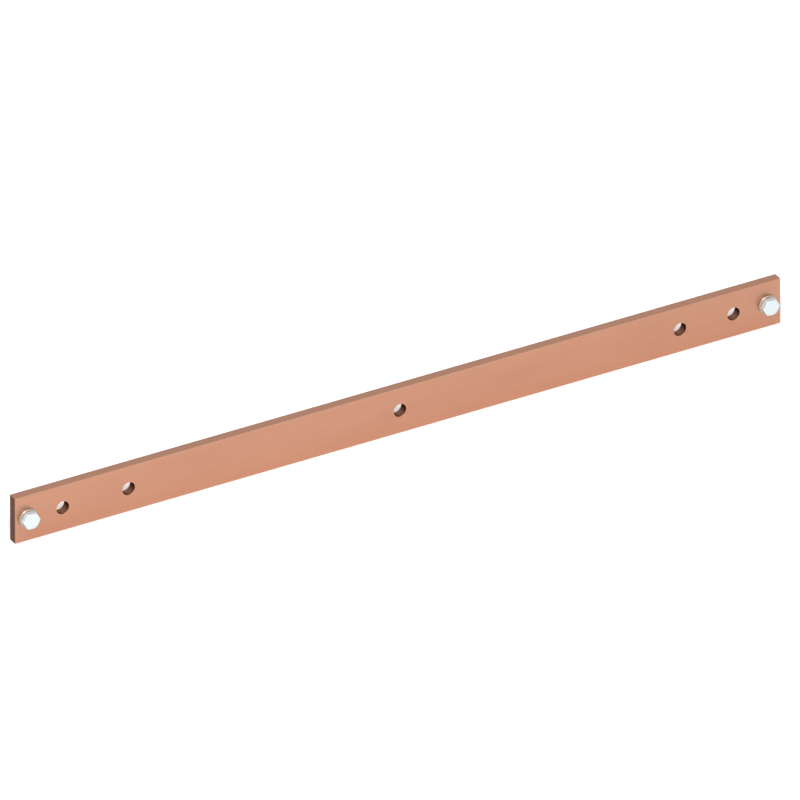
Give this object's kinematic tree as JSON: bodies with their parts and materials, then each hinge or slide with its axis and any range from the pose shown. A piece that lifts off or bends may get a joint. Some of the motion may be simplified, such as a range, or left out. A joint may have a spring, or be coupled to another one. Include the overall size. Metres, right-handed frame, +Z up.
{
  "type": "copper busbar",
  "caption": "Flat copper power distribution bar with plain connection holes along its centreline and a hexagon fixing screw on a washer near each end.",
  "frame": {"origin": "middle of the bar, on the axis of its centre hole at mid-thickness", "axes": "+X along the bar to the right, -Y out of the front face where the screw heads are, +Z up across the bar's width"},
  "size_m": [0.68, 0.0253, 0.04],
  "materials": {
    "copper": "drawn, bare, semi-bright",
    "zinc_plate": "bright zinc plated"
  },
  "bodies": {
    "root": {"busbar": "copper", "left_screw": "zinc_plate", "right_screw": "zinc_plate", "left_washer": "zinc_plate", "right_washer": "zinc_plate"}
  },
  "joints": []
}
